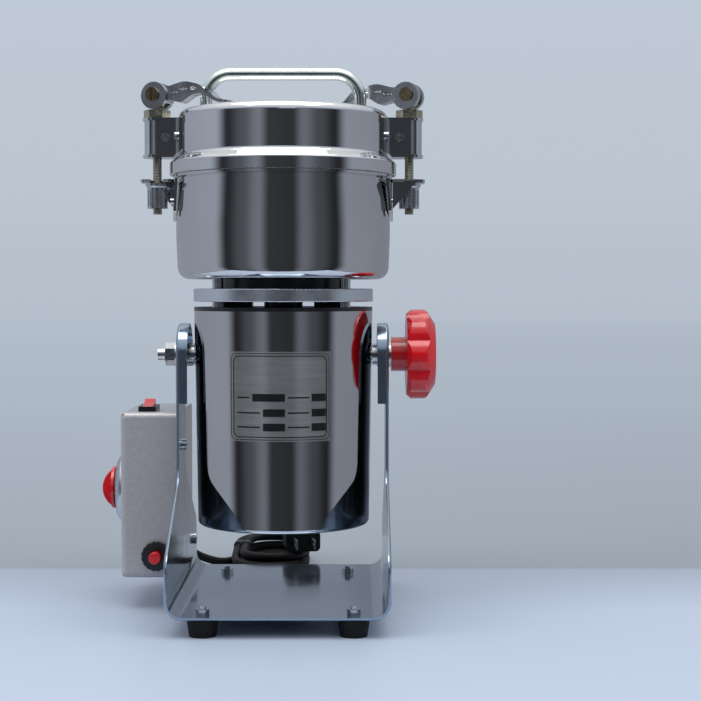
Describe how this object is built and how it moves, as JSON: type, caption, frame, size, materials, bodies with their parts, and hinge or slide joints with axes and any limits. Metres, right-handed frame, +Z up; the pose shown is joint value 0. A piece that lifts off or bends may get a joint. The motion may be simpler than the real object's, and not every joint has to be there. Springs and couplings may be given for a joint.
{
  "type": "tilting powder mill",
  "caption": "Bench grain mill: polished bowl with clamped lid and rod handle over a motor that tilts in a bent sheet stand with a side control box.",
  "frame": {"origin": "on the surface that the feet stand on, under the middle of the mill's box without its cord", "axes": "+Z up, -Y towards the front with the reset button, +X towards the tilt knob"},
  "size_m": [0.2219, 0.2955, 0.3513],
  "materials": {
    "frame_paint": "silver-grey paint",
    "box_paint": "hammered silver paint",
    "black_rubber": "matt",
    "white_rubber": "soft",
    "black_plastic": "satin",
    "red_plastic": "gloss",
    "silver_dial": "satin",
    "zinc_steel": "bright zinc",
    "bright_steel": "polished",
    "mirror_steel": "mirror polished stainless steel",
    "blade_steel": "ground",
    "lamination_steel": "varnished laminations",
    "copper": "enamelled copper wire",
    "brass": "plain",
    "satin_aluminium": "machined",
    "cast_lever": "cast",
    "yellow_zinc": "yellow zinc plate",
    "foil": "foil with printed bars"
  },
  "bodies": {
    "stand": {"base_frame": "frame_paint", "rubber_feet": "black_rubber", "foot_fasteners": "zinc_steel", "control_box_shell": "box_paint", "control_box_back_plate": "box_paint", "control_box_screws": "zinc_steel", "switch_housing": "black_plastic", "breaker_body": "black_plastic", "breaker_ring": "black_plastic", "timer_body": "black_plastic", "timer_dial": "silver_dial", "cord_strain_relief": "black_rubber", "mains_cord": "black_rubber", "mains_cord_coil": "black_rubber", "mains_cord_tail": "black_rubber", "plug_body": "black_rubber", "plug_blades": "zinc_steel"},
    "mill": {"motor_shell": "mirror_steel", "motor_bottom_cover": "black_plastic", "motor_top_cap": "black_plastic", "stator_core": "lamination_steel", "field_windings": "copper", "brush_gear": "brass", "shaft_bearings": "zinc_steel", "mount_plate": "satin_aluminium", "plate_spacers": "zinc_steel", "bowl_seat": "black_plastic", "pivot_studs": "zinc_steel", "pivot_fasteners": "zinc_steel", "label_plate": "foil", "bowl": "mirror_steel", "shaft_seal": "black_rubber", "bowl_hooks": "bright_steel"},
    "spindle": {"motor_shaft": "blade_steel", "armature_core": "lamination_steel", "armature_copper": "copper", "cooling_fan": "black_plastic", "blade_lower": "blade_steel", "blade_middle": "blade_steel", "blade_upper": "blade_steel", "blade_spacers_and_nut": "blade_steel"},
    "lid": {"lid_shell": "mirror_steel", "lid_seal": "white_rubber", "lid_handle": "bright_steel", "clamp_brackets": "bright_steel", "lid_fasteners": "zinc_steel", "clamp_seats": "yellow_zinc"},
    "tilt_knob_body": {"tilt_knob": "red_plastic"},
    "rocker": {"switch_rocker": "red_plastic"},
    "reset": {"reset_button": "red_plastic"},
    "timer": {"timer_knob": "red_plastic"},
    "left_rod": {"left_clamp_rod": "yellow_zinc"},
    "left_nut": {"left_clamp_nut": "zinc_steel"},
    "left_lever": {"left_clamp_lever": "cast_lever", "left_lever_screw": "yellow_zinc"},
    "right_rod": {"right_clamp_rod": "yellow_zinc"},
    "right_nut": {"right_clamp_nut": "zinc_steel"},
    "right_lever": {"right_clamp_lever": "cast_lever", "right_lever_screw": "yellow_zinc"}
  },
  "joints": [
    {"name": "mill_tilt", "type": "hinge", "parent": "stand", "child": "mill", "pos_m": [0.01285, 0, 0.1665], "axis": [1, 0, 0], "range_deg": [-90, 110]},
    {"name": "spindle_spin", "type": "hinge", "parent": "mill", "child": "spindle", "pos_m": [0.01285, 0, 0.12], "axis": [0, 0, 1], "continuous": true},
    {"name": "lid_turn", "type": "hinge", "parent": "mill", "child": "lid", "pos_m": [0.01285, 0, 0.282], "axis": [0, 0, 1], "range_deg": [0, 35]},
    {"name": "tilt_knob_turn", "type": "hinge", "parent": "mill", "child": "tilt_knob_body", "pos_m": [0.09785, 0, 0.1665], "axis": [1, 0, 0], "range_deg": [0, 360]},
    {"name": "switch_rock", "type": "hinge", "parent": "stand", "child": "rocker", "pos_m": [-0.07665, 0.0155, 0.1277], "axis": [-1, 0, 0], "range_deg": [0, 16]},
    {"name": "reset_press", "type": "slide", "parent": "stand", "child": "reset", "axis": [0, 1, 0], "range_m": [0, 0.004], "stiffness_N_per_m": 200},
    {"name": "timer_turn", "type": "hinge", "parent": "stand", "child": "timer", "pos_m": [-0.10215, 0.036, 0.075], "axis": [-1, 0, 0], "range_deg": [0, 300]},
    {"name": "left_rod_drop", "type": "slide", "parent": "lid", "child": "left_rod", "axis": [0, 0, -1], "range_m": [0, 0.00164]},
    {"name": "left_lever_flip", "type": "hinge", "parent": "left_rod", "child": "left_lever", "pos_m": [-0.06855, 0, 0.3337], "axis": [-0.3256, -0.9455, 0], "range_deg": [0, 110]},
    {"name": "left_nut_turn", "type": "hinge", "parent": "left_rod", "child": "left_nut", "pos_m": [-0.06855, 0, 0.268], "axis": [0, 0, 1], "continuous": true},
    {"name": "right_rod_drop", "type": "slide", "parent": "lid", "child": "right_rod", "axis": [0, 0, -1], "range_m": [0, 0.00164]},
    {"name": "right_lever_flip", "type": "hinge", "parent": "right_rod", "child": "right_lever", "pos_m": [0.09425, 0, 0.3337], "axis": [0.3256, 0.9455, 0], "range_deg": [0, 110]},
    {"name": "right_nut_turn", "type": "hinge", "parent": "right_rod", "child": "right_nut", "pos_m": [0.09425, 0, 0.268], "axis": [0, 0, 1], "continuous": true}
  ],
  "couplings": [
    {"joint": "left_lever_flip", "follows": "left_rod_drop", "rad_per_m": 1171.9},
    {"joint": "right_lever_flip", "follows": "right_rod_drop", "rad_per_m": 1171.9}
  ]
}
